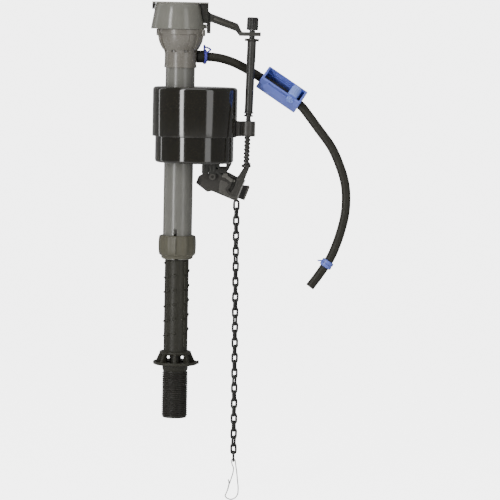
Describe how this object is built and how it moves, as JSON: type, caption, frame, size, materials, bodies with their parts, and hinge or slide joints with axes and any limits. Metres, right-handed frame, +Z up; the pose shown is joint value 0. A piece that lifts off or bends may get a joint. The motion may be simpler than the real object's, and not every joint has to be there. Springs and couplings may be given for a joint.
{
  "type": "toilet fill valve",
  "caption": "Float-cup toilet fill valve on an adjustable tube, with a lock arm released by a chain, an adjusting rod and a refill hose with a roller clamp.",
  "frame": {"origin": "on the tube axis at the underside of the flange, where the shank passes through the tank's hole", "axes": "+Z up along the tube, +X towards the float rod, -Y to the front"},
  "size_m": [0.1874, 0.0782, 0.461],
  "materials": {
    "threaded_shank": "moulded, satin",
    "riser_pipe": "moulded, satin",
    "riser_seal": "smooth rubber",
    "lock_ring": "moulded, satin",
    "upper_tube": "moulded, semi-gloss",
    "valve_head": "moulded, semi-gloss",
    "water_riser": "moulded, satin",
    "valve_seat": "moulded, satin",
    "diaphragm_seal": "smooth rubber",
    "bleed_pin": "bright drawn wire",
    "cap": "moulded, semi-gloss",
    "lever_yoke": "moulded, semi-gloss",
    "lever_pin": "bright drawn wire",
    "hose_cuff": "smooth rubber",
    "inlet_clamp": "moulded, semi-gloss",
    "refill_hose": "smooth rubber",
    "outlet_clamp": "moulded, semi-gloss",
    "roller_clamp": "moulded, semi-gloss",
    "cap_lever": "moulded, semi-gloss",
    "rod_retainer": "moulded, satin",
    "adjusting_rod": "moulded, satin",
    "float_cup": "moulded, semi-gloss",
    "float_base": "moulded, semi-gloss",
    "float_sleeve": "moulded, semi-gloss",
    "rod_clip": "moulded, satin",
    "lock_bracket": "moulded, satin",
    "arm_pin": "moulded, satin",
    "lock_arm": "moulded, satin",
    "arm_weight": "moulded, satin",
    "chain": "moulded, satin",
    "chain_hook": "bright drawn wire",
    "clamp_roller": "moulded, semi-gloss"
  },
  "bodies": {
    "shank": {"threaded_shank": "threaded_shank", "riser_pipe": "riser_pipe", "riser_seal": "riser_seal"},
    "lock_ring": {"lock_ring": "lock_ring"},
    "valve_body": {"upper_tube": "upper_tube", "valve_head": "valve_head", "water_riser": "water_riser", "valve_seat": "valve_seat", "diaphragm_seal": "diaphragm_seal", "bleed_pin": "bleed_pin", "cap": "cap", "lever_yoke": "lever_yoke", "lever_pin": "lever_pin", "hose_cuff": "hose_cuff", "inlet_clamp": "inlet_clamp", "refill_hose": "refill_hose", "outlet_clamp": "outlet_clamp", "roller_clamp": "roller_clamp"},
    "lever": {"cap_lever": "cap_lever"},
    "rod_carrier": {"rod_retainer": "rod_retainer"},
    "rod": {"adjusting_rod": "adjusting_rod"},
    "float": {"float_cup": "float_cup", "float_base": "float_base", "float_sleeve": "float_sleeve", "rod_clip": "rod_clip", "lock_bracket": "lock_bracket", "arm_pin": "arm_pin"},
    "lock_arm": {"lock_arm": "lock_arm", "arm_weight": "arm_weight"},
    "chain": {"chain": "chain"},
    "hook": {"chain_hook": "chain_hook"},
    "roller": {"clamp_roller": "clamp_roller"}
  },
  "joints": [
    {"name": "height_adjust", "type": "slide", "parent": "shank", "child": "lock_ring", "axis": [0, 0, 1], "range_m": [-0.08, 0.018]},
    {"name": "valve_turn", "type": "hinge", "parent": "lock_ring", "child": "valve_body", "pos_m": [0, 0, 0.12], "axis": [0, 0, 1], "range_deg": [-180, 180]},
    {"name": "float_lift", "type": "slide", "parent": "valve_body", "child": "rod_carrier", "axis": [0, 0, 1], "range_m": [0, 0.0125]},
    {"name": "lever_swing", "type": "hinge", "parent": "valve_body", "child": "lever", "pos_m": [0.0229, 0, 0.326], "axis": [0, -1, 0], "range_deg": [0, 19]},
    {"name": "float_height", "type": "slide", "parent": "rod_carrier", "child": "float", "axis": [0.0255, 0, 0.9997], "range_m": [-0.024, 0.004]},
    {"name": "rod_turn", "type": "hinge", "parent": "rod_carrier", "child": "rod", "pos_m": [0.0642, 0, 0.251], "axis": [0.0255, 0, 0.9997], "range_deg": [-420, 2440]},
    {"name": "arm_release", "type": "hinge", "parent": "float", "child": "lock_arm", "pos_m": [0.0314, 0.0067, 0.1753], "axis": [0, -1, 0], "range_deg": [0, 17]},
    {"name": "chain_swing", "type": "hinge", "parent": "lock_arm", "child": "chain", "pos_m": [0.055, 0.0067, 0.1556], "axis": [0, -1, 0], "range_deg": [-7, 12]},
    {"name": "hook_swing", "type": "hinge", "parent": "chain", "child": "hook", "pos_m": [0.055, 0.0067, -0.0899], "axis": [0, -1, 0], "range_deg": [-30, 30]},
    {"name": "roller_slide", "type": "slide", "parent": "valve_body", "child": "roller", "axis": [0.836, -0.041, -0.5472], "range_m": [-0.023, 0.0005]}
  ],
  "couplings": [
    {"joint": "lever_swing", "follows": "float_lift", "rad_per_m": 25},
    {"joint": "rod_turn", "follows": "float_height", "rad_per_m": -1764.9}
  ]
}
